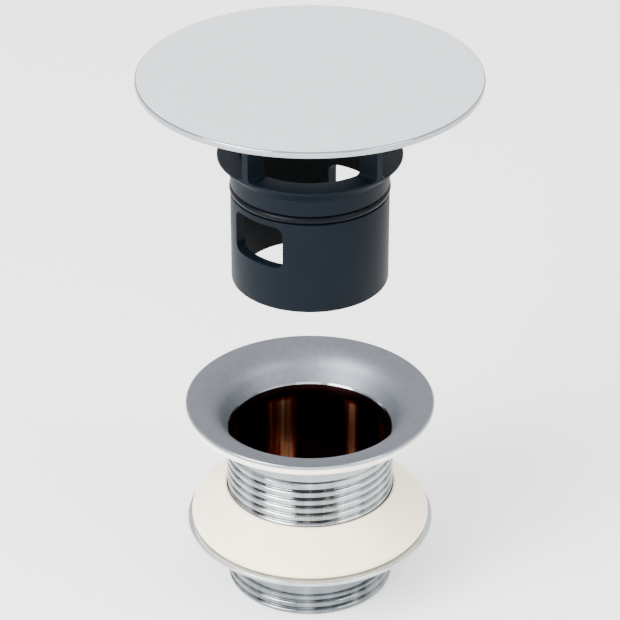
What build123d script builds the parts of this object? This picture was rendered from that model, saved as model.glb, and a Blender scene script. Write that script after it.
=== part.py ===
"""Basin waste with a lift-out covered insert, shown with the insert raised clear of the body.

Millimetres, +Z up. The origin lies on the axis, in the plane of the basin that the flange seal rests on.
"""

import os

from build123d import *

os.makedirs("parts", exist_ok=True)

# Tail of the body: outside of a G 1 1/4 pipe thread, and the bore that takes the insert
thread_radius = 20.95
bore_wall = 1.65
relief_step = 0.2
tail_length = 48.9
relief_depth = 22.4
neck_step = 0.35
neck_depth = 7.2
thread_depth = 8.8
thread_lead = 0.35
band_step = 0.6
band_depth = 38.5
band_height = 4.2
tail_chamfer = 0.6

# Flange, with a shallow dish that bends into a steep throat
seal_thickness = 1.5
rim_thickness = 1.1
rim_edge_fillet = 0.35
dish_width = 7.1
dish_drop = 0.8
bend_fillet = 8.0
throat_width = 4.6
throat_depth = 8.0
land_width = 3.0
underside_width = 3.6
shoulder_step = 1.6
shoulder_depth = 4.6

# Seal ring under the flange
seal_setback = 0.3
seal_clearance = 0.2
seal_fillet = 0.3

# Cone gasket and ring nut on the tail
gasket_top_depth = 21.7
gasket_height = 9.8
gasket_width = 8.8
gasket_bore_clearance = 0.25
gasket_top_land = 0.5
gasket_rim_height = 2.4
gasket_rim_fillet = 1.2
nut_overhang = 1.1
nut_bevel_width = 1.9
nut_edge_height = 1.0
nut_height = 2.0
nut_bore_clearance = 0.1
nut_hex_wall = 1.95
nut_hex_height = 2.6
nut_hex_chamfer = 0.4

# Insert: where it stands, and the ring section from the shelf down
lift = 72.0
seat_clearance = 0.4
skirt_clearance = 0.3
cage_wall = 2.5
collar_overhang = 2.7
collar_edge = 0.6
collar_taper = 3.0
groove_offset = 7.6
groove_height = 2.3
groove_depth = 1.6
skirt_length = 33.1
skirt_chamfer = 0.4

# Insert: two opposite windows, four blades and the plate that carries the cover
window_offset = 11.3
window_height = 10.7
window_width = 15.0
window_corner = 2.0
blade_angles = (45.0, 135.0, 225.0, 315.0)
blade_thickness = 1.8
blade_height = 16.6
blade_fillet = 0.8
plate_thickness = 1.6

# O-ring and cover
ring_bore_clearance = 0.05
ring_floor_clearance = 0.05
cover_radius = 40.7
cover_thickness = 1.6
cover_edge_fillet = 0.35

# Heights and radii that follow from the sizes above
bore_radius = thread_radius - bore_wall
relief_radius = bore_radius + relief_step
neck_radius = thread_radius - neck_step
band_radius = thread_radius - band_step
band_top = -band_depth
band_bottom = band_top - band_height
tail_bottom = -tail_length

rim_height = seal_thickness + rim_thickness
bend_height = rim_height - dish_drop
throat_slope = (bend_height + throat_depth) / throat_width
bend_radius = bore_radius + throat_width
flange_radius = bend_radius + dish_width
land_radius = flange_radius - land_width
shoulder_radius = neck_radius + shoulder_step
underside_radius = shoulder_radius + underside_width

gasket_top = -gasket_top_depth
gasket_bottom = gasket_top - gasket_height
gasket_rim_top = gasket_bottom + gasket_rim_height
gasket_bore = thread_radius + gasket_bore_clearance
gasket_radius = gasket_bore + gasket_width

nut_bottom = gasket_bottom - nut_height
nut_bore = thread_radius + nut_bore_clearance
nut_radius = gasket_radius + nut_overhang
nut_foot_radius = nut_radius - nut_bevel_width
nut_hex_radius = nut_bore + nut_hex_wall

# The collar edge stops just short of the throat when the insert is pushed home
collar_radius = bore_radius + collar_overhang
collar_edge_seated = (collar_overhang + seat_clearance) * throat_slope - throat_depth
shelf = collar_edge_seated + collar_edge + lift
skirt_radius = bore_radius - skirt_clearance
cage_bore = skirt_radius - cage_wall
collar_foot = shelf - collar_edge - collar_taper
groove_top = shelf - groove_offset
groove_bottom = groove_top - groove_height
groove_radius = skirt_radius - groove_depth
skirt_bottom = shelf - skirt_length
window_middle = shelf - window_offset - window_height / 2
plate_bottom = shelf + blade_height
cover_bottom = plate_bottom + plate_thickness

ring_outer = bore_radius - ring_bore_clearance
ring_inner = groove_radius + ring_floor_clearance
ring_section = (ring_outer - ring_inner) / 2


# Body: the dished flange, throat, neck and tail are turned as one piece
with BuildPart() as waste_body:
    with BuildSketch(Plane.XZ) as body_section:
        with BuildLine():
            Polyline(
                (bend_radius, bend_height),
                (bore_radius, -throat_depth),
                (bore_radius, -relief_depth),
                (relief_radius, -relief_depth),
                (relief_radius, tail_bottom),
                (thread_radius - tail_chamfer, tail_bottom),
                (thread_radius, tail_bottom + tail_chamfer),
                (thread_radius, band_bottom - thread_lead),
                (band_radius, band_bottom),
                (band_radius, band_top),
                (thread_radius, band_top + thread_lead),
                (thread_radius, -thread_depth - thread_lead),
                (neck_radius, -thread_depth),
                (neck_radius, -neck_depth),
                (shoulder_radius, -shoulder_depth),
                (underside_radius, 0),
                (land_radius, seal_thickness),
                (flange_radius, seal_thickness),
                (flange_radius, rim_height),
                close=True,
            )
        make_face()
        rim_corners = body_section.vertices().group_by(Axis.X)[-1]
        fillet(rim_corners, rim_edge_fillet)
        bend = body_section.vertices().sort_by_distance((bend_radius, bend_height))[0]
        fillet(bend, bend_fillet)
    revolve(axis=Axis.Z)

# Flange seal: a flat ring between the flange and the basin
with BuildPart() as flange_seal:
    with BuildSketch(Plane.XY):
        Circle(flange_radius - seal_setback)
        Circle(land_radius + seal_clearance, mode=Mode.SUBTRACT)
    extrude(amount=seal_thickness)
    seal_foot = flange_seal.faces().sort_by(Axis.Z)[0].outer_wire().edges()
    fillet(seal_foot, seal_fillet)

# Cone gasket: a rubber cone that wedges into the hole of the basin from below
with BuildPart() as cone_gasket:
    with BuildSketch(Plane.XZ) as gasket_section:
        with BuildLine():
            Polyline(
                (gasket_bore, gasket_bottom),
                (gasket_radius, gasket_bottom),
                (gasket_radius, gasket_rim_top),
                (gasket_bore + gasket_top_land, gasket_top),
                (gasket_bore, gasket_top),
                close=True,
            )
        make_face()
        gasket_rim = gasket_section.vertices().group_by(Axis.X)[-1]
        fillet(gasket_rim, gasket_rim_fillet)
    revolve(axis=Axis.Z)

# Ring nut: a thin round flange with a low hexagon below it for the spanner
with BuildPart() as back_nut:
    with BuildSketch(Plane.XZ):
        with BuildLine():
            Polyline(
                (nut_bore, gasket_bottom),
                (nut_radius, gasket_bottom),
                (nut_radius, gasket_bottom - nut_edge_height),
                (nut_foot_radius, nut_bottom),
                (nut_bore, nut_bottom),
                close=True,
            )
        make_face()
    revolve(axis=Axis.Z)
    with BuildSketch(Plane.XY.offset(nut_bottom)):
        RegularPolygon(nut_hex_radius, 6, major_radius=False)
        Circle(nut_bore, mode=Mode.SUBTRACT)
    extrude(amount=-nut_hex_height)
    hex_foot = back_nut.faces().sort_by(Axis.Z)[0].outer_wire().edges()
    chamfer(hex_foot, nut_hex_chamfer)

# Blades of the insert: each spreads into the shelf and the top plate with rounded corners
blade_planes = [
    Plane(
        origin=(0, 0, shelf + blade_height / 2),
        x_dir=Vector(1, 0, 0).rotate(Axis.Z, angle + 90),
        z_dir=Vector(1, 0, 0).rotate(Axis.Z, angle),
    )
    for angle in blade_angles
]
with BuildPart() as blades:
    with BuildSketch(*blade_planes):
        Rectangle(blade_thickness + 2 * blade_fillet, blade_height)
        with GridLocations(blade_thickness + 4 * blade_fillet, 0, 2, 1):
            RectangleRounded(4 * blade_fillet, blade_height, blade_fillet, mode=Mode.SUBTRACT)
    extrude(amount=2 * collar_radius)
    with BuildSketch(Plane.XY.offset(shelf)):
        Circle(collar_radius)
        Circle(cage_bore, mode=Mode.SUBTRACT)
    extrude(amount=blade_height, mode=Mode.INTERSECT)

# Insert cage: skirt, groove, collar, blades and top plate are one moulding
with BuildPart() as insert_cage:
    with BuildSketch(Plane.XZ):
        with BuildLine():
            Polyline(
                (cage_bore, skirt_bottom),
                (skirt_radius - skirt_chamfer, skirt_bottom),
                (skirt_radius, skirt_bottom + skirt_chamfer),
                (skirt_radius, groove_bottom),
                (groove_radius, groove_bottom),
                (groove_radius, groove_top),
                (skirt_radius, groove_top),
                (skirt_radius, collar_foot),
                (collar_radius, shelf - collar_edge),
                (collar_radius, shelf),
                (cage_bore, shelf),
                close=True,
            )
        make_face()
    revolve(axis=Axis.Z)
    window_plane = Plane(
        origin=(0, 0, window_middle),
        x_dir=blade_planes[0].x_dir,
        z_dir=blade_planes[0].z_dir,
    )
    with BuildSketch(window_plane):
        RectangleRounded(window_width, window_height, window_corner)
    extrude(amount=collar_radius, both=True, mode=Mode.SUBTRACT)
    add(blades.part)
    with BuildSketch(Plane.XY.offset(plate_bottom)):
        Circle(collar_radius)
    extrude(amount=plate_thickness)

# O-ring in the groove of the insert, a close sliding fit in the bore
with BuildPart() as insert_o_ring:
    with BuildSketch(Plane.XZ):
        with Locations(((ring_outer + ring_inner) / 2, (groove_top + groove_bottom) / 2)):
            Circle(ring_section)
    revolve(axis=Axis.Z)

# Cover: a flat plate on top of the cage
with BuildPart() as cover_disc:
    with BuildSketch(Plane.XY.offset(cover_bottom)):
        Circle(cover_radius)
    extrude(amount=cover_thickness)
    fillet(cover_disc.edges().filter_by(GeomType.CIRCLE), cover_edge_fillet)


pieces = {
    "waste_body": waste_body,
    "flange_seal": flange_seal,
    "cone_gasket": cone_gasket,
    "back_nut": back_nut,
    "insert_cage": insert_cage,
    "insert_o_ring": insert_o_ring,
    "cover_disc": cover_disc,
}
for name, piece in pieces.items():
    piece.part.label = name
    export_step(piece.part, f"parts/{name}.step")
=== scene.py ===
"""Looks of the basin waste: fine turned meshes, a helical thread, finishes, studio stage and camera."""

from math import ceil, cos, pi, radians, sin, sqrt, tan, tau

import bmesh
import bpy
from bpy.props import FloatProperty, FloatVectorProperty, IntProperty, PointerProperty
from bpy.types import Operator, Panel, PropertyGroup
from mathutils import Matrix, Vector


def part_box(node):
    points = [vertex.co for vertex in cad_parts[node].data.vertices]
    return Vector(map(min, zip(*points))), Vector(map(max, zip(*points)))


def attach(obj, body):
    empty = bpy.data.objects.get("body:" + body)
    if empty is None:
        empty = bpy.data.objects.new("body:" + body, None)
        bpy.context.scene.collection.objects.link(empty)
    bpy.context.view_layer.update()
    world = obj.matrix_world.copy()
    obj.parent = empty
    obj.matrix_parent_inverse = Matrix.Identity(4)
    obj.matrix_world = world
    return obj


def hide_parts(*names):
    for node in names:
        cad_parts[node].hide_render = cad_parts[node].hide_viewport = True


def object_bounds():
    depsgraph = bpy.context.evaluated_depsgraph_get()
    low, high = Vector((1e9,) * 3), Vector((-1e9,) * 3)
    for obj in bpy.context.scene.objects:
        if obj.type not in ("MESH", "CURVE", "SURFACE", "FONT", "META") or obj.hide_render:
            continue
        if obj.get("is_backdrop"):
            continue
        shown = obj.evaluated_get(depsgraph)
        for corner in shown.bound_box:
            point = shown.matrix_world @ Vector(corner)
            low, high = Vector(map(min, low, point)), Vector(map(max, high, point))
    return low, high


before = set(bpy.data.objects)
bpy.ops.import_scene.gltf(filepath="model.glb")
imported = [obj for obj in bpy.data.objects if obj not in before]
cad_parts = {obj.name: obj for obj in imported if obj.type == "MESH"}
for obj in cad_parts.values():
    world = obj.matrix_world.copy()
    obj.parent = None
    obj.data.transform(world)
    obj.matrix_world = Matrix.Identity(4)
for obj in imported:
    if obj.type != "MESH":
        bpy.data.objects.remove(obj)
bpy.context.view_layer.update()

bl_info = {
    "name": "Basin Waste",
    "version": (1, 0, 0),
    "blender": (4, 5, 0),
    "location": "View3D > Sidebar > Basin Waste",
    "description": "Builds the visible pieces of a basin waste with a lift-out insert, and its studio stage",
    "category": "Object",
}

MM = 0.001
SHARP_ANGLE = radians(35)

# Sockets of the colour Mix node, whose names repeat
MIX_FACTOR, MIX_A, MIX_B, MIX_RESULT = 0, 6, 7, 2


def linear(code):
    """Linear RGB of an sRGB hex colour."""
    parts = [int(code[i : i + 2], 16) / 255 for i in (1, 3, 5)]
    return tuple(c / 12.92 if c <= 0.04045 else ((c + 0.055) / 1.055) ** 2.4 for c in parts)


def length(name, description, millimetres):
    """A length property whose default is given in millimetres."""
    return FloatProperty(
        name=name, description=description, default=millimetres * MM, unit="LENGTH", precision=5
    )


def colour(name, description, code):
    """A colour property whose default is given as an sRGB hex value."""
    return FloatVectorProperty(
        name=name, description=description, default=linear(code), subtype="COLOR", min=0, max=1
    )


# Settings that a user would change


class BodySizes(PropertyGroup):
    """Sizes of the flanged body and its thread."""

    bore_radius: length("Bore radius", "Bore that takes the insert", 19.3)
    relief_radius: length("Relief radius", "Wider bore below the sealing length", 19.5)
    relief_depth: length("Relief depth", "Depth of the step in the bore below the basin", 22.4)
    throat_depth: length("Throat depth", "Depth of the foot of the throat below the basin", 8.0)
    plating_radius: length("Plating radius", "Where the plate ends in the throat", 20.35)
    dish_drop: length("Dish drop", "Fall of the dish from the rim to the bend", 0.8)
    bend_radius: length("Bend radius", "Where the dish bends into the throat", 23.9)
    bend_round: length("Bend rounding", "Rounding of the bend", 8.0)
    rim_round: length("Rim rounding", "Edge radius of the flange rim", 0.35)
    rim_thickness: length("Rim thickness", "Thickness of the flange at its edge", 1.1)
    land_radius: length("Land radius", "Inner edge of the flat under the flange", 28.0)
    underside_radius: length("Underside radius", "Outside of the body at the basin seat", 25.8)
    shoulder_radius: length("Shoulder radius", "Outside of the body at its shoulder", 22.2)
    shoulder_depth: length("Shoulder depth", "Depth of the shoulder below the basin", 4.6)
    neck_radius: length("Neck radius", "Smooth neck above the thread", 20.6)
    neck_depth: length("Neck depth", "Depth of the top of the neck below the basin", 7.2)
    thread_start: length("Thread start", "Depth of the first thread below the basin", 8.8)
    thread_lead: length("Thread lead", "Chamfer at the ends of the thread", 0.35)
    band_radius: length("Band radius", "Smooth band near the tail end", 20.35)
    band_depth: length("Band depth", "Depth of the top of the smooth band", 38.5)
    band_height: length("Band height", "Height of the smooth band", 4.2)
    tail_chamfer: length("Tail chamfer", "Chamfer at the tail end", 0.6)
    thread_pitch: length("Thread pitch", "Pitch of the pipe thread, eleven to the inch", 2.309)
    thread_depth: length("Thread depth", "Depth of the rolled groove", 0.62)


class InsertSizes(PropertyGroup):
    """Sizes of the insert, measured from its shelf."""

    wall: length("Wall", "Wall of the skirt", 2.5)
    skirt_radius: length("Skirt radius", "Outside of the skirt", 19.0)
    collar_edge: length("Collar edge", "Upright edge of the shelf", 0.6)
    collar_taper: length("Collar taper", "Height of the taper under the shelf", 3.0)
    groove_offset: length("Groove offset", "Top of the O-ring groove below the shelf", 7.6)
    groove_height: length("Groove height", "Width of the O-ring groove", 2.3)
    groove_depth: length("Groove depth", "Depth of the O-ring groove", 1.6)
    window_offset: length("Window offset", "Top of the lower windows below the shelf", 11.3)
    window_height: length("Window height", "Height of the lower windows", 10.7)
    window_width: length("Window width", "Width of the lower windows", 15.0)
    window_corner: length("Window corner", "Corner radius of the lower windows", 2.0)
    blade_thickness: length("Blade thickness", "Thickness of the four blades", 1.8)
    blade_height: length("Blade height", "Shelf to the underside of the top plate", 16.6)
    blade_fillet: length("Blade fillet", "Rounding where a blade spreads into the shelf", 0.8)
    plate_thickness: length("Plate thickness", "Thickness of the top plate", 1.6)


class RubberAndNutSizes(PropertyGroup):
    """Sizes of the seal, the cone gasket, the ring nut and the edge of the cover."""

    seal_bore: length("Seal bore", "Inner radius of the flange seal", 28.2)
    seal_round: length("Seal rounding", "Edge radius of the flange seal", 0.3)
    gasket_bore: length("Gasket bore", "Inner radius of the cone gasket", 21.2)
    gasket_land: length("Gasket land", "Flat at the top of the cone", 0.5)
    gasket_rim: length("Gasket rim", "Upright height of the gasket's rim", 2.4)
    gasket_round: length("Gasket rounding", "Edge radius of the gasket's rim", 1.2)
    nut_bore: length("Nut bore", "Inner radius of the ring nut", 21.05)
    nut_foot: length("Nut foot", "Radius of the flange of the nut at its foot", 29.2)
    nut_edge: length("Nut edge", "Upright edge of the nut", 1.0)
    nut_flange: length("Nut flange", "Thickness of the round flange of the nut", 2.0)
    nut_flats: length("Nut flats", "Across flats of the hexagon", 46.0)
    nut_round: length("Nut rounding", "Edge radius of the nut", 0.25)
    cover_round: length("Cover rounding", "Edge radius of the cover", 0.35)


class Colours(PropertyGroup):
    """Colours of the finishes."""

    cover: colour("Cover", "Satin chrome plate of the cover", "#F2F6FA")
    # Painted shade: the cover's rounded edge gets a darker chrome tint than its top.
    cover_rim_shade: colour("Cover edge", "Polished chrome plate on the edge of the cover", "#969BA0")
    chrome: colour("Chrome", "Bright chrome plate of the rim and the tail above the nut", "#90969A")
    # Painted shade: the tail below the nut gets a darker chrome tint, standing in for the shade under the
    # gasket and nut.
    shaded_tail_chrome: colour("Dull chrome", "Duller chrome plate of the tail below the nut", "#72777A")
    nut: colour("Nut", "Bright chrome plate of the nut", "#B0B4B8")
    flange: colour("Flange", "Worn satin chrome of the dished flange", "#74787F")
    # Painted shade: a dark tint in the thread grooves, deepest at the root, standing in for the shade in the
    # grooves.
    painted_light_tint: colour("Tarnish", "Dull film in the thread grooves", "#202326")
    # Painted light in the bore: the amber and red colours paint reflection streaks, and the nearly black
    # brass is painted shade.
    brass: colour("Brass", "Bare brass inside the bore, where it shines", "#FFC490")
    reflection_streak_red: colour("Red brass", "Red tarnish at the edges of the bright streaks", "#7A2410")
    painted_bore_shade: colour("Dark brass", "Tarnished brass inside the bore", "#120506")
    plastic: colour("Plastic", "Moulded plastic of the insert", "#080E14")
    # Painted shade: a nearly black plastic for the faces inside the insert.
    painted_shade_plastic: colour("Dark plastic", "Unpolished plastic inside the insert", "#06080A")
    ring: colour("Ring", "Black rubber of the O-ring", "#04060A")
    ivory: colour("Ivory", "Rubber of the cone gasket", "#FFF0D4")
    cream: colour("Cream", "Rubber of the flange seal", "#EDE8DA")
    floor: colour("Floor", "Pale studio table", "#FAFAFA")


class StageSettings(PropertyGroup):
    """Camera and lights."""

    azimuth: FloatProperty(
        name="Azimuth", description="Camera turn about the axis", default=radians(-2), unit="ROTATION"
    )
    elevation: FloatProperty(
        name="Elevation", description="Camera height angle", default=radians(30), unit="ROTATION"
    )
    distance: length("Distance", "Camera to the point it looks at", 623.6)
    aim_height: length("Aim height", "Height of the point that the camera looks at", 27.96)
    lens: FloatProperty(name="Lens", description="Focal length in millimetres", default=148.35)
    table_glow: FloatProperty(
        name="Table glow", description="Light that comes up through the studio table", default=0.4, min=0
    )
    sky_glow: FloatProperty(
        name="Sky glow", description="Strength of the white surroundings", default=1.8, min=0
    )
    segments: IntProperty(name="Segments", description="Steps round each turned piece", default=192, min=24)


# Mesh helpers


def rounded(corners, steps=5):
    """Outline points of a closed polygon of (radius, height, rounding) corners."""
    points = []
    count = len(corners)
    for i, (r, z, rounding) in enumerate(corners):
        here = Vector((r, z))
        if rounding == 0:
            points.append((r, z))
            continue
        before = (Vector(corners[i - 1][:2]) - here).normalized()
        after = (Vector(corners[(i + 1) % count][:2]) - here).normalized()
        half = before.angle(after) / 2
        centre = here + (before + after).normalized() * rounding / sin(half)
        start = here + before * rounding / tan(half) - centre
        turn = start.angle_signed(here + after * rounding / tan(half) - centre)
        for k in range(steps + 1):
            spoke = start.copy()
            spoke.rotate(Matrix.Rotation(-turn * k / steps, 2))
            points.append(tuple(centre + spoke))
    return points


def mesh_object(name, bm):
    """New object from a bmesh, merged, with outward normals and smooth round faces."""
    bmesh.ops.remove_doubles(bm, verts=bm.verts, dist=0.0005 * MM)
    bmesh.ops.dissolve_degenerate(bm, dist=0.0005 * MM, edges=bm.edges)
    bmesh.ops.recalc_face_normals(bm, faces=bm.faces)
    mesh = bpy.data.meshes.new(name)
    bm.to_mesh(mesh)
    bm.free()
    mesh.shade_smooth()
    mesh.set_sharp_from_angle(angle=SHARP_ANGLE)
    piece = bpy.data.objects.new(name, mesh)
    bpy.context.collection.objects.link(piece)
    return piece


def revolved(name, outline_at, segments, slots=None):
    """Turn a closed outline about Z. outline_at gives the (radius, height) points at an angle."""
    bm = bmesh.new()
    columns = []
    for i in range(segments + 1):
        angle = tau * i / segments
        columns.append([bm.verts.new((r * cos(angle), r * sin(angle), z)) for r, z in outline_at(angle)])
    count = len(columns[0])
    for left, right in zip(columns, columns[1:]):
        for k in range(count):
            m = (k + 1) % count
            face = bm.faces.new((left[k], right[k], right[m], left[m]))
            face.material_index = slots[k] if slots else 0
    return mesh_object(name, bm)


def turned(name, corners, segments):
    """Turn a closed polygon of (radius, height, rounding) corners about Z."""
    outline = rounded(corners)
    return revolved(name, lambda angle: outline, segments)


def prism(name, outline, place, low, high):
    """Straight prism of a flat outline, between low and high along the local Z of place."""
    bm = bmesh.new()
    ends = [[bm.verts.new(place @ Vector((x, y, z))) for x, y in outline] for z in (low, high)]
    bm.faces.new(ends[0])
    bm.faces.new(ends[1])
    count = len(outline)
    for k in range(count):
        m = (k + 1) % count
        bm.faces.new((ends[0][k], ends[0][m], ends[1][m], ends[1][k]))
    return mesh_object(name, bm)


def combine(piece, tools, operation):
    """Join or cut the piece with the tools, which are used up."""
    for tool in tools:
        step = piece.modifiers.new("combine", "BOOLEAN")
        step.operation = operation
        step.solver = "EXACT"
        step.object = tool
    result = bpy.data.meshes.new_from_object(piece.evaluated_get(bpy.context.evaluated_depsgraph_get()))
    piece.modifiers.clear()
    piece.data = result
    for tool in tools:
        bpy.data.objects.remove(tool)
    result.shade_smooth()
    result.set_sharp_from_angle(angle=SHARP_ANGLE)


def dress(piece, body, slot, node, *finishes):
    """Let a finished piece stand for its node and move with its body."""
    for finish in finishes:
        piece.data.materials.append(finish)
    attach(piece, body)
    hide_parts(node)


# Material helpers


def add_node(tree, kind, links=None, **settings):
    """Add a shader node, set its properties or inputs by name, and link its inputs."""
    node = tree.nodes.new(kind)
    for key, value in settings.items():
        if hasattr(node, key):
            setattr(node, key, value)
        else:
            node.inputs[key.replace("_", " ")].default_value = value
    for key, source in (links or {}).items():
        tree.links.new(source, node.inputs[key])
    return node


def new_finish(name):
    """Empty node material, with its tree, shader and coordinates in metres."""
    finish = bpy.data.materials.new(name)
    finish.use_nodes = True
    tree = finish.node_tree
    shader = tree.nodes["Principled BSDF"]
    place = add_node(tree, "ShaderNodeTexCoord").outputs["Object"]
    return finish, tree, shader, place


def mottle(tree, shader, place, tint, spread, grain_mm):
    """Slight lightness change over a base colour, with patches of the given size."""
    noise = add_node(
        tree, "ShaderNodeTexNoise", {"Vector": place}, Scale=1 / (grain_mm * MM), Detail=4.0, Roughness=0.55
    )
    dark = tuple(c * (1 - spread) for c in tint) + (1,)
    light = tuple(min(1, c * (1 + spread)) for c in tint) + (1,)
    share = add_node(
        tree, "ShaderNodeMapRange", {"Value": noise.outputs["Fac"]}, From_Min=0.35, From_Max=0.65
    )
    mix = add_node(tree, "ShaderNodeMix", {MIX_FACTOR: share.outputs["Result"]}, data_type="RGBA")
    mix.inputs[MIX_A].default_value = dark
    mix.inputs[MIX_B].default_value = light
    tree.links.new(mix.outputs[MIX_RESULT], shader.inputs["Base Color"])
    return noise


def grained(tree, shader, place, grain_mm, height_mm):
    """Fine raised grain of the given size and height."""
    noise = add_node(tree, "ShaderNodeTexNoise", {"Vector": place}, Scale=1 / (grain_mm * MM), Detail=2.0)
    bump = add_node(
        tree, "ShaderNodeBump", {"Height": noise.outputs["Fac"]}, Strength=0.6, Distance=height_mm * MM
    )
    tree.links.new(bump.outputs["Normal"], shader.inputs["Normal"])


def satin_chrome(tint):
    """Chrome over a blasted surface: bright, with no sharp reflections."""
    finish, tree, shader, place = new_finish("satin_chrome_plate")
    shader.inputs["Metallic"].default_value = 1
    shader.inputs["Roughness"].default_value = 0.52
    mottle(tree, shader, place, tint, 0.012, 6)
    grained(tree, shader, place, 0.25, 0.002)
    return finish


def bright_chrome(name, tint, reflection_band_spread, painted_light_tint=None, crest=0.0):
    """Bright chrome plate with a faint haze: painted upright dark and light reflection bands, and painted
    shade in the thread grooves.
    """
    finish, tree, shader, place = new_finish(name)
    shader.inputs["Metallic"].default_value = 1
    # Painted reflection: upright dark and light bands in the base colour.
    upright = add_node(tree, "ShaderNodeMapping", {"Vector": place}, Scale=(1, 1, 0.15))
    reflection_bands = mottle(tree, shader, upright.outputs["Vector"], tint, reflection_band_spread, 7)
    # Painted shade: the base colour darkens towards the root of the thread grooves.
    if painted_light_tint:
        across = add_node(tree, "ShaderNodeVectorMath", {0: place}, operation="MULTIPLY")
        across.inputs[1].default_value = (1, 1, 0)
        radius = add_node(tree, "ShaderNodeVectorMath", {0: across.outputs["Vector"]}, operation="LENGTH")
        shade_top, wide_shade_start, narrow_shade_start = crest - 0.2 * MM, crest - 0.5 * MM, crest - 1.1 * MM
        shade_reach = add_node(
            tree,
            "ShaderNodeMapRange",
            {"Value": reflection_bands.outputs["Fac"]},
            From_Min=0.4,
            From_Max=0.6,
            To_Min=wide_shade_start,
            To_Max=narrow_shade_start,
        )
        depth = add_node(
            tree,
            "ShaderNodeMapRange",
            {"Value": radius.outputs["Value"], "From Min": shade_reach.outputs["Result"]},
            From_Max=shade_top,
        )
        painted_groove_shade = add_node(tree, "ShaderNodeMix", {MIX_FACTOR: depth.outputs["Result"]}, data_type="RGBA")
        painted_groove_shade.inputs[MIX_A].default_value = (*painted_light_tint, 1)
        clean = shader.inputs["Base Color"].links[0].from_socket
        tree.links.new(clean, painted_groove_shade.inputs[MIX_B])
        tree.links.new(painted_groove_shade.outputs[MIX_RESULT], shader.inputs["Base Color"])
    haze = add_node(tree, "ShaderNodeTexNoise", {"Vector": place}, Scale=1 / (1.5 * MM), Detail=5.0)
    rough = add_node(tree, "ShaderNodeMapRange", {"Value": haze.outputs["Fac"]}, To_Min=0.08, To_Max=0.18)
    tree.links.new(rough.outputs["Result"], shader.inputs["Roughness"])
    return finish


def worn_chrome(tint):
    """Chrome plate dulled by handling: soft reflections and a fine cloudy grain."""
    finish, tree, shader, place = new_finish("worn_satin_chrome")
    shader.inputs["Metallic"].default_value = 1
    mottle(tree, shader, place, tint, 0.05, 1.6)
    haze = add_node(tree, "ShaderNodeTexNoise", {"Vector": place}, Scale=1 / (2.5 * MM), Detail=6.0)
    rough = add_node(tree, "ShaderNodeMapRange", {"Value": haze.outputs["Fac"]}, To_Min=0.48, To_Max=0.60)
    tree.links.new(rough.outputs["Result"], shader.inputs["Roughness"])
    return finish


def bare_brass(dark, red, bright, top):
    """Drawn brass left unplated: a nearly black base colour as painted shade in the bore, with red and amber
    streaks below its top as painted reflections.
    """
    finish, tree, shader, place = new_finish("brass_bore_painted_light")
    shader.inputs["Metallic"].default_value = 1
    shader.inputs["Roughness"].default_value = 0.28
    # A place in the noise that puts one wide painted reflection streak and one narrow one at the back of the
    # bore
    streak_place = Vector((-44.2, -2.3, -59.5)) * MM
    stretched = add_node(
        tree, "ShaderNodeMapping", {"Vector": place}, Scale=(1, 1, 0.04), Location=streak_place
    )
    streak = add_node(
        tree, "ShaderNodeTexNoise", {"Vector": stretched.outputs["Vector"]}, Scale=1 / (6 * MM), Detail=3.0
    )
    share = add_node(
        tree, "ShaderNodeMapRange", {"Value": streak.outputs["Fac"]}, From_Min=0.54, From_Max=0.74
    )
    height = add_node(tree, "ShaderNodeSeparateXYZ", {"Vector": place}).outputs["Z"]
    fade = add_node(tree, "ShaderNodeMapRange", {"Value": height}, From_Min=top, From_Max=top - 1.5 * MM)
    amount = add_node(
        tree, "ShaderNodeMath", {0: share.outputs["Result"], 1: fade.outputs["Result"]}, operation="MULTIPLY"
    )
    ramp = add_node(tree, "ShaderNodeValToRGB", {"Fac": amount.outputs["Value"]})
    stops = ramp.color_ramp.elements
    stops.new(0.4)
    for stop, tint in zip(stops, (dark, red, bright)):
        stop.color = (*tint, 1)
    tree.links.new(ramp.outputs["Color"], shader.inputs["Base Color"])
    return finish


def slate_plastic(name, tint, sheen, rough):
    """Moulded plastic with a fine matt grain: soft sheen outside; a nearly black copy is painted shade in
    the bore.
    """
    finish, tree, shader, place = new_finish(name)
    shader.inputs["Roughness"].default_value = rough
    shader.inputs["IOR"].default_value = 1.5
    shader.inputs["Specular IOR Level"].default_value = sheen
    mottle(tree, shader, place, tint, 0.06, 5)
    grained(tree, shader, place, 0.3, 0.004)
    return finish


def ring_rubber(tint):
    """Black moulded rubber with a slight wet shine."""
    finish, tree, shader, place = new_finish("moulded_black_rubber")
    shader.inputs["Roughness"].default_value = 0.34
    shader.inputs["IOR"].default_value = 1.52
    shader.inputs["Specular IOR Level"].default_value = 0.06
    mottle(tree, shader, place, tint, 0.15, 3)
    return finish


def pale_rubber(name, tint):
    """Pale moulded rubber: matt, with faint cloudy changes of tone."""
    finish, tree, shader, place = new_finish(name)
    shader.inputs["Roughness"].default_value = 0.55
    shader.inputs["IOR"].default_value = 1.5
    shader.inputs["Subsurface Weight"].default_value = 0.08
    shader.inputs["Subsurface Radius"].default_value = (1.0, 0.8, 0.6)
    shader.inputs["Subsurface Scale"].default_value = 1.5 * MM
    mottle(tree, shader, place, tint, 0.035, 8)
    grained(tree, shader, place, 0.5, 0.006)
    return finish


def settings():
    """All settings of the add-on."""
    return bpy.context.scene.basin_waste


# Pieces


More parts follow.
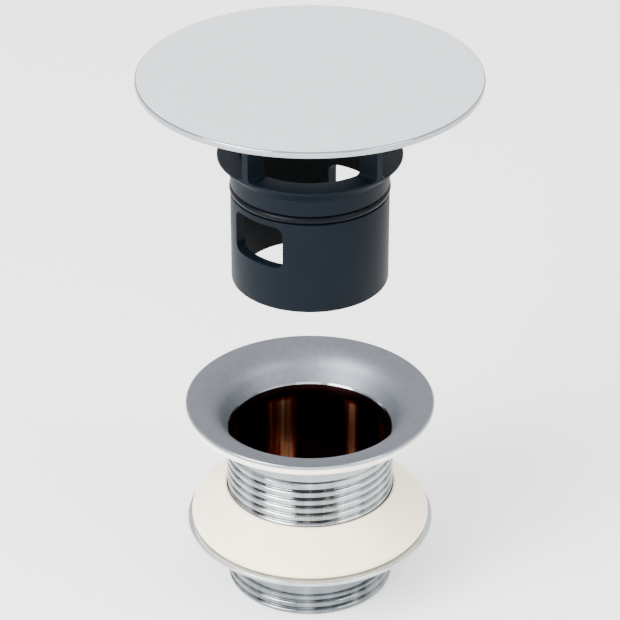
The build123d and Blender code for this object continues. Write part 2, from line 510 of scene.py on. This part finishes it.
def thread_rows(low, high, crest, sizes, angle):
    """Points of a helical thread between two heights, at one angle, from the bottom up."""
    pitch = sizes.thread_pitch
    crest_half = ((0.0, 0.45), (0.06, 0.2), (0.14, 0.05), (0.24, 0.0), (0.4, 0.0), (0.5, 0.05), (0.58, 0.2))
    root_half = ((0.64, 0.45), (0.71, 0.88), (0.76, 1.0), (0.88, 1.0), (0.93, 0.88))
    profile = crest_half + root_half
    rows = []
    for turn in range(-1, ceil((high - low) / pitch) + 1):
        for share, drop in profile:
            z = min(high, max(low, low + (turn + share + angle / tau) * pitch))
            fade = min(1.0, min(z - low, high - z) / (0.4 * pitch))
            rows.append((crest - drop * fade * sizes.thread_depth, z))
    return rows


class BASINWASTE_OT_body(Operator):
    """Turn the flanged body with its dished mouth, bore and helical thread"""

    bl_idname = "basin_waste.body"
    bl_label = "Flanged Body"

    def execute(self, context):
        s = settings().body
        low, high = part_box("waste_body")
        flange = high[0]
        crest = s.neck_radius + s.thread_lead
        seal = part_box("flange_seal")[1][2]
        rim = seal + s.rim_thickness
        tail = low[2]
        rim_steps = 12
        bend = rim - s.dish_drop
        steepness = (bend + s.throat_depth) / (s.bend_radius - s.bore_radius)
        bright_edge = 0.22 * MM
        plated = [
            (r, (r - s.bore_radius) * steepness - s.throat_depth)
            for r in (s.plating_radius + bright_edge, s.plating_radius)
        ]
        rim_edge = rounded(
            [
                (s.land_radius, seal, 0),
                (flange, seal, s.rim_round),
                (flange, rim, s.rim_round),
                (s.bend_radius, bend, s.bend_round),
                (*plated[0], 0),
            ],
            rim_steps,
        )
        dish_start = len(rim_edge) - rim_steps - 3
        bore = [
            plated[1],
            (s.bore_radius, -s.throat_depth),
            (s.bore_radius, -s.relief_depth),
            (s.relief_radius, -s.relief_depth),
        ]
        foot = [(s.relief_radius, tail), (crest - s.tail_chamfer, tail), (crest, tail + s.tail_chamfer)]
        band_top = -s.band_depth
        band_bottom = band_top - s.band_height
        band = [(s.band_radius, band_bottom), (s.band_radius, band_top)]
        neck = [
            (s.neck_radius, -s.thread_start),
            (s.neck_radius, -s.neck_depth),
            (s.shoulder_radius, -s.shoulder_depth),
            (s.underside_radius, 0),
        ]
        lower = (tail + s.tail_chamfer, band_bottom - s.thread_lead)
        upper = (band_top + s.thread_lead, -s.thread_start - s.thread_lead)
        # Painted shade: below the nut the tail gets a darker chrome tint than the neck, standing in for the
        # shade under the gasket and nut.
        bright, worn, bare, threaded, shaded_tail, shaded_tail_thread = range(6)

        def sections(angle):
            return (
                (bore, bare),
                (foot, shaded_tail),
                (thread_rows(*lower, crest, s, angle), shaded_tail_thread),
                (band, shaded_tail),
                (thread_rows(*upper, crest, s, angle), threaded),
                (neck + rim_edge[:dish_start], bright),
                (rim_edge[dish_start:-1], worn),
                (rim_edge[-1:], bright),
            )

        def outline(angle):
            return [point for points, slot in sections(angle) for point in points]

        slots = [slot for points, slot in sections(0) for point in points]
        piece = revolved("flanged_body", outline, settings().stage.segments, slots)
        colours = settings().colours
        dress(
            piece,
            "waste",
            "chromed_brass",
            "waste_body",
            bright_chrome("bright_chrome_plate", colours.chrome, 0.1),
            worn_chrome(colours.flange),
            bare_brass(colours.painted_bore_shade, colours.reflection_streak_red, colours.brass, -s.throat_depth),
            bright_chrome("rolled_chrome_thread", colours.chrome, 0.45, colours.painted_light_tint, crest),
            bright_chrome("painted_shade_tail_plate", colours.shaded_tail_chrome, 0.3),
            bright_chrome("painted_shade_tail_thread", colours.shaded_tail_chrome, 0.45, colours.painted_light_tint, crest),
        )
        return {"FINISHED"}


class BASINWASTE_OT_rubber(Operator):
    """Turn the flange seal and the cone gasket"""

    bl_idname = "basin_waste.rubber"
    bl_label = "Seal and Gasket"

    def execute(self, context):
        s = settings().rubber
        segments = settings().stage.segments
        colours = settings().colours
        land_round = 0.15 * MM
        low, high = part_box("flange_seal")
        seal = turned(
            "seal_ring",
            [
                (s.seal_bore, low[2], 0),
                (high[0], low[2], s.seal_round),
                (high[0], high[2], 0),
                (s.seal_bore, high[2], 0),
            ],
            segments,
        )
        dress(seal, "waste", "seal_rubber", "flange_seal", pale_rubber("cream_seal_rubber", colours.cream))
        low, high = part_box("cone_gasket")
        gasket = turned(
            "gasket_cone",
            [
                (s.gasket_bore, low[2], 0),
                (high[0], low[2], s.gasket_round),
                (high[0], low[2] + s.gasket_rim, s.gasket_round),
                (s.gasket_bore + s.gasket_land, high[2], land_round),
                (s.gasket_bore, high[2], 0),
            ],
            segments,
        )
        ivory = pale_rubber("ivory_gasket_rubber", colours.ivory)
        dress(gasket, "waste", "gasket_rubber", "cone_gasket", ivory)
        return {"FINISHED"}


class BASINWASTE_OT_nut(Operator):
    """Turn the ring nut with its low hexagon"""

    bl_idname = "basin_waste.nut"
    bl_label = "Ring Nut"

    def execute(self, context):
        s = settings().rubber
        low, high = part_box("back_nut")
        foot = high[2] - s.nut_flange
        nut = turned(
            "ring_nut",
            [
                (s.nut_bore, foot, 0),
                (s.nut_foot, foot, s.nut_round),
                (high[0], high[2] - s.nut_edge, s.nut_round),
                (high[0], high[2], s.nut_round),
                (s.nut_bore, high[2], 0),
            ],
            settings().stage.segments,
        )
        corner = s.nut_flats / sqrt(3)
        outline = [(corner * cos(tau * k / 6), corner * sin(tau * k / 6)) for k in range(6)]
        overlap = 0.3 * MM
        steps = 96
        hexagon = prism("hexagon", outline, Matrix(), low[2], foot + overlap)
        bore = prism(
            "bore",
            [(s.nut_bore * cos(tau * k / steps), s.nut_bore * sin(tau * k / steps)) for k in range(steps)],
            Matrix(),
            low[2] - overlap,
            foot + 2 * overlap,
        )
        combine(hexagon, [bore], "DIFFERENCE")
        combine(nut, [hexagon], "UNION")
        finish = bright_chrome("chromed_nut_plate", settings().colours.nut, 0.08)
        dress(nut, "waste", "chromed_nut", "back_nut", finish)
        return {"FINISHED"}


class BASINWASTE_OT_insert(Operator):
    """Mould the insert cage and its O-ring"""

    bl_idname = "basin_waste.insert"
    bl_label = "Insert and O-Ring"

    def execute(self, context):
        s = settings().insert
        segments = settings().stage.segments
        low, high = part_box("insert_cage")
        collar = high[0]
        shelf = high[2] - s.plate_thickness - s.blade_height
        bore = s.skirt_radius - s.wall
        groove_top = shelf - s.groove_offset
        groove_bottom = groove_top - s.groove_height
        groove = s.skirt_radius - s.groove_depth
        edge = 0.2 * MM
        cage = turned(
            "moulded_cage",
            [
                (bore, low[2], edge),
                (s.skirt_radius, low[2], 2 * edge),
                (s.skirt_radius, groove_bottom, edge),
                (groove, groove_bottom, 0),
                (groove, groove_top, 0),
                (s.skirt_radius, groove_top, edge),
                (s.skirt_radius, shelf - s.collar_edge - s.collar_taper, edge),
                (collar, shelf - s.collar_edge, edge),
                (collar, shelf, edge),
                (bore, shelf, edge),
            ],
            segments,
        )
        plate = prism(
            "plate",
            [(collar * cos(tau * k / segments), collar * sin(tau * k / segments)) for k in range(segments)],
            Matrix(),
            high[2] - s.plate_thickness,
            high[2],
        )
        sink = 0.3 * MM
        half = s.blade_thickness / 2
        foot_steps = 5
        turns = [pi / 2 * k / foot_steps for k in range(foot_steps + 1)]
        side = [(half + s.blade_fillet * (1 - sin(t)), s.blade_fillet * (1 - cos(t))) for t in turns]
        blade_top = s.blade_height
        right = [(side[0][0], -sink)] + side
        right += [(x, blade_top - z) for x, z in reversed(side)] + [(side[0][0], blade_top + sink)]
        outline = right + [(-x, z) for x, z in reversed(right)]
        blades = []
        for quarter in range(4):
            facing = Matrix.Rotation(pi / 4 + quarter * pi / 2, 4, "Z")
            bm = bmesh.new()
            rings = [
                [bm.verts.new(facing @ Vector((sqrt(r * r - t * t), t, shelf + z))) for t, z in outline]
                for r in (bore, collar)
            ]
            for ring in rings:
                bm.faces.new(ring)
            for k in range(len(outline)):
                m = (k + 1) % len(outline)
                bm.faces.new((rings[0][k], rings[0][m], rings[1][m], rings[1][k]))
            blades.append(mesh_object("blade", bm))
        combine(cage, blades + [plate], "UNION")
        middle = shelf - s.window_offset - s.window_height / 2
        wide, tall = s.window_width / 2, s.window_height / 2
        corners = ((-wide, -tall), (wide, -tall), (wide, tall), (-wide, tall))
        corner_steps = 8
        opening = rounded([(x, y, s.window_corner) for x, y in corners], corner_steps)
        across = Matrix.Translation((0, 0, middle)) @ Matrix.Rotation(pi / 4, 4, "Z")
        across = across @ Matrix.Rotation(pi / 2, 4, "Y") @ Matrix.Rotation(pi / 2, 4, "Z")
        cutter = prism("window", opening, across, -2 * collar, 2 * collar)
        combine(cage, [cutter], "DIFFERENCE")
        colours = settings().colours
        # Painted shade: faces inside the bore, below the top face, get the nearly black plastic.
        for face in cage.data.polygons:
            inside = face.center.xy.length < bore + edge and face.center.z < high[2] - edge
            face.material_index = 1 if inside else 0
        dress(
            cage,
            "insert",
            "cage_plastic",
            "insert_cage",
            slate_plastic("moulded_slate_plastic", colours.plastic, 0.05, 0.48),
            slate_plastic("painted_shade_inner_plastic", colours.painted_shade_plastic, 0.08, 0.75),
        )
        low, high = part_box("insert_o_ring")
        section = (high[2] - low[2]) / 2
        middle = (high[2] + low[2]) / 2
        centre = high[0] - section
        round_steps = 20
        outline = [
            (centre + section * cos(tau * k / round_steps), middle + section * sin(tau * k / round_steps))
            for k in range(round_steps)
        ]
        ring = revolved("o_ring", lambda angle: outline, segments)
        dress(ring, "insert", "ring_rubber", "insert_o_ring", ring_rubber(colours.ring))
        return {"FINISHED"}


class BASINWASTE_OT_cover(Operator):
    """Press the flat cover"""

    bl_idname = "basin_waste.cover"
    bl_label = "Cover"

    def execute(self, context):
        s = settings().rubber
        low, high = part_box("cover_disc")
        cover = turned(
            "cover_plate",
            [
                (0, low[2], 0),
                (high[0], low[2], s.cover_round),
                (high[0], high[2], s.cover_round),
                (0, high[2], 0),
            ],
            settings().stage.segments,
        )
        colours = settings().colours
        # Painted shade: the faces of the rounded edge get the darker chrome tint.
        for face in cover.data.polygons:
            face.material_index = 1 if face.center.xy.length > high[0] - s.cover_round else 0
        dress(
            cover,
            "insert",
            "satin_chrome",
            "cover_disc",
            satin_chrome(colours.cover),
            bright_chrome("painted_shade_cover_rim", colours.cover_rim_shade, 0.05),
        )
        return {"FINISHED"}


class BASINWASTE_OT_stage(Operator):
    """Set the pale floor, the soft lights and the camera"""

    bl_idname = "basin_waste.stage"
    bl_label = "Studio Stage"

    def execute(self, context):
        s = settings().stage
        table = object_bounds()[0][2]
        reach = 3.0
        bm = bmesh.new()
        bm.faces.new(
            [bm.verts.new((x * reach, y * reach, table)) for x, y in ((-1, -1), (1, -1), (1, 1), (-1, 1))]
        )
        floor = mesh_object("floor", bm)
        finish, tree, shader, place = new_finish("pale_acrylic_table")
        shader.inputs["Roughness"].default_value = 0.9
        shader.inputs["Emission Color"].default_value = (1, 1, 1, 1)
        shader.inputs["Emission Strength"].default_value = s.table_glow
        mottle(tree, shader, place, settings().colours.floor, 0.004, 200)
        floor.data.materials.append(finish)
        floor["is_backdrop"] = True

        world = bpy.data.worlds.new("studio")
        world.use_nodes = True
        background = world.node_tree.nodes["Background"]
        background.inputs["Color"].default_value = (1, 1, 1, 1)
        background.inputs["Strength"].default_value = s.sky_glow
        context.scene.world = world

        aim = Vector((0, 0, s.aim_height))
        lamps = (
            ("key_light", (-0.65, -0.65, 0.5), 0.6, 19.0),
            ("fill_light", (0.75, -0.6, 0.6), 0.5, 8.0),
            ("front_light", (0.0, -1.0, 0.06), 0.6, 4.0),
            ("top_light", (-0.8, -0.45, 0.7), 0.5, 14.0),
        )
        for name, place, size, power in lamps:
            light = bpy.data.lights.new(name, "AREA")
            light.size = size
            light.energy = power
            lamp = bpy.data.objects.new(name, light)
            lamp.location = place
            lamp.rotation_euler = (aim - lamp.location).to_track_quat("-Z", "Y").to_euler()
            context.collection.objects.link(lamp)

        data = bpy.data.cameras.new("camera")
        data.lens = s.lens
        data.sensor_width = 36
        camera = bpy.data.objects.new("camera", data)
        level = s.distance * cos(s.elevation)
        camera.location = aim + Vector(
            (level * sin(s.azimuth), -level * cos(s.azimuth), s.distance * sin(s.elevation))
        )
        camera.rotation_euler = (aim - camera.location).to_track_quat("-Z", "Y").to_euler()
        context.collection.objects.link(camera)
        context.scene.camera = camera
        return {"FINISHED"}


class BasinWasteSettings(PropertyGroup):
    """All settings, grouped by piece."""

    body: PointerProperty(type=BodySizes, name="Body", description="Sizes of the flanged body")
    insert: PointerProperty(type=InsertSizes, name="Insert", description="Sizes of the insert")
    rubber: PointerProperty(
        type=RubberAndNutSizes, name="Seals and nut", description="Sizes of seals, nut and cover edge"
    )
    colours: PointerProperty(type=Colours, name="Colours", description="Colours of the finishes")
    stage: PointerProperty(type=StageSettings, name="Stage", description="Camera and mesh fineness")


OPERATORS = (
    BASINWASTE_OT_body,
    BASINWASTE_OT_rubber,
    BASINWASTE_OT_nut,
    BASINWASTE_OT_insert,
    BASINWASTE_OT_cover,
    BASINWASTE_OT_stage,
)


class BASINWASTE_PT_panel(Panel):
    """Pieces of the basin waste"""

    bl_label = "Basin Waste"
    bl_idname = "BASINWASTE_PT_panel"
    bl_space_type = "VIEW_3D"
    bl_region_type = "UI"
    bl_category = "Basin Waste"

    def draw(self, context):
        for operator in OPERATORS:
            self.layout.operator(operator.bl_idname)


CLASSES = (
    BodySizes, InsertSizes, RubberAndNutSizes, Colours, StageSettings, BasinWasteSettings,
    *OPERATORS, BASINWASTE_PT_panel,
)


def register():
    for item in CLASSES:
        bpy.utils.register_class(item)
    bpy.types.Scene.basin_waste = PointerProperty(type=BasinWasteSettings)


def unregister():
    del bpy.types.Scene.basin_waste
    for item in reversed(CLASSES):
        bpy.utils.unregister_class(item)


def main():
    register()
    bpy.ops.basin_waste.body()
    bpy.ops.basin_waste.rubber()
    bpy.ops.basin_waste.nut()
    bpy.ops.basin_waste.insert()
    bpy.ops.basin_waste.cover()
    bpy.ops.basin_waste.stage()


if __name__ == "__main__":
    main()
